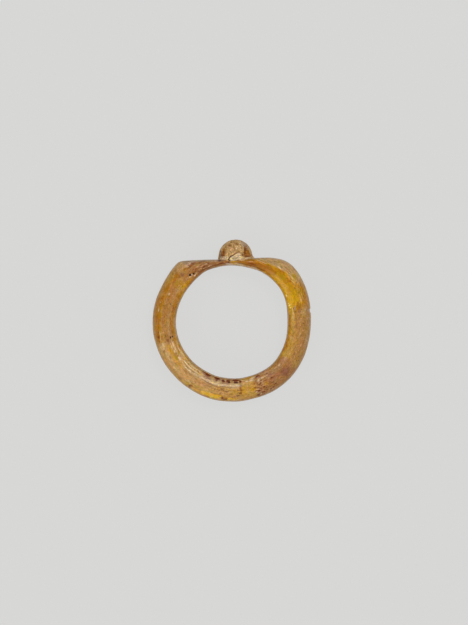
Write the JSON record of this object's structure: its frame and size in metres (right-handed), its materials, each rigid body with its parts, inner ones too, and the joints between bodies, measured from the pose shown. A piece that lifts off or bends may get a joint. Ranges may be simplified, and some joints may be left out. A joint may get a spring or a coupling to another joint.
{
  "type": "glass finger ring",
  "caption": "Rounded finger ring of weathered amber glass, its top pressed flat into a table that carries a domed drop of glass.",
  "frame": {"origin": "middle of the finger hole, half way through the hoop's width", "axes": "+Z along the finger's axis, which stands upright because the ring lies on its side; +Y towards the drop of glass; +X to the right with the drop at the top"},
  "size_m": [0.0216, 0.0221, 0.0048],
  "materials": {
    "amber_glass": "translucent honey-amber glass under a dull tan weathering film",
    "weathered_drop": "beige-brown weathered glass with small clear amber places"
  },
  "bodies": {
    "root": {"hoop": "amber_glass", "knob": "weathered_drop"}
  },
  "joints": []
}
